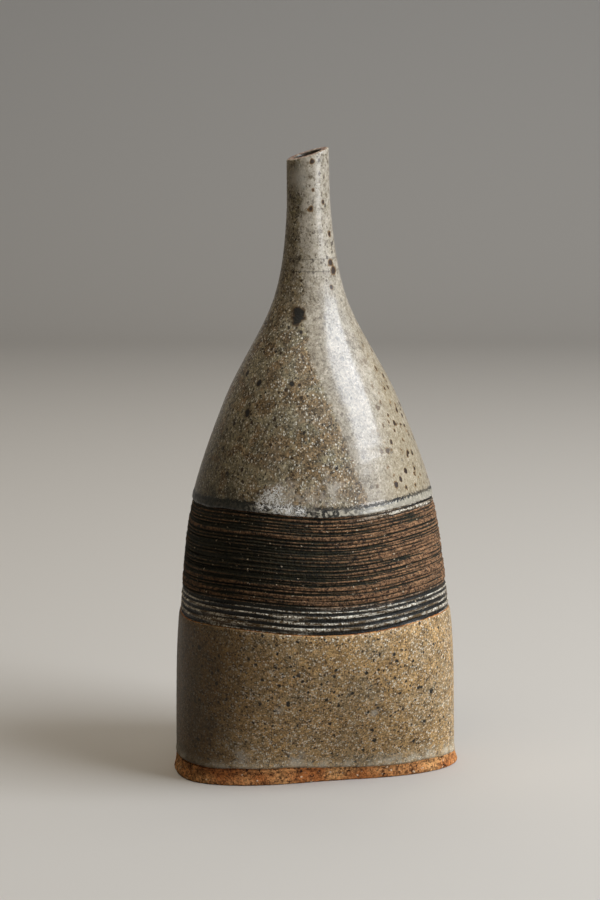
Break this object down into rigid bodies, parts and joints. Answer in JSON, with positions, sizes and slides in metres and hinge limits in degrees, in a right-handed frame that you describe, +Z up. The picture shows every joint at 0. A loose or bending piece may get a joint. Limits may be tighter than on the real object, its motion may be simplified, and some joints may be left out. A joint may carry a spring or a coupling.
{
  "type": "weed pot",
  "caption": "Stoneware bottle for dried stems: slant-cut narrow neck, bell shoulder, combed dark band and a wall pressed flat onto a bare slab base.",
  "frame": {"origin": "middle of the base's underside, on the table", "axes": "+Z up along the bottle, X along the long side of the pressed foot with the high side of the slanting lip at +X, Y along the foot's short side"},
  "size_m": [0.1016, 0.0872, 0.2185],
  "materials": {
    "bare_stoneware": "bare toasted stoneware, granular and matt",
    "iron_washed_stoneware": "combed clay with dark iron wash in the grooves and bare orange ridges",
    "speckled_matt_glaze": "warm beige satin glaze, densely speckled with iron",
    "oatmeal_glaze": "grey oatmeal glossy glaze with iron specks, whiter where it is thick"
  },
  "bodies": {
    "root": {"base_slab": "bare_stoneware", "lower_wall": "bare_stoneware", "combed_band": "iron_washed_stoneware", "shoulder": "bare_stoneware", "neck": "bare_stoneware", "lower_glaze": "speckled_matt_glaze", "upper_glaze": "oatmeal_glaze"}
  },
  "joints": []
}
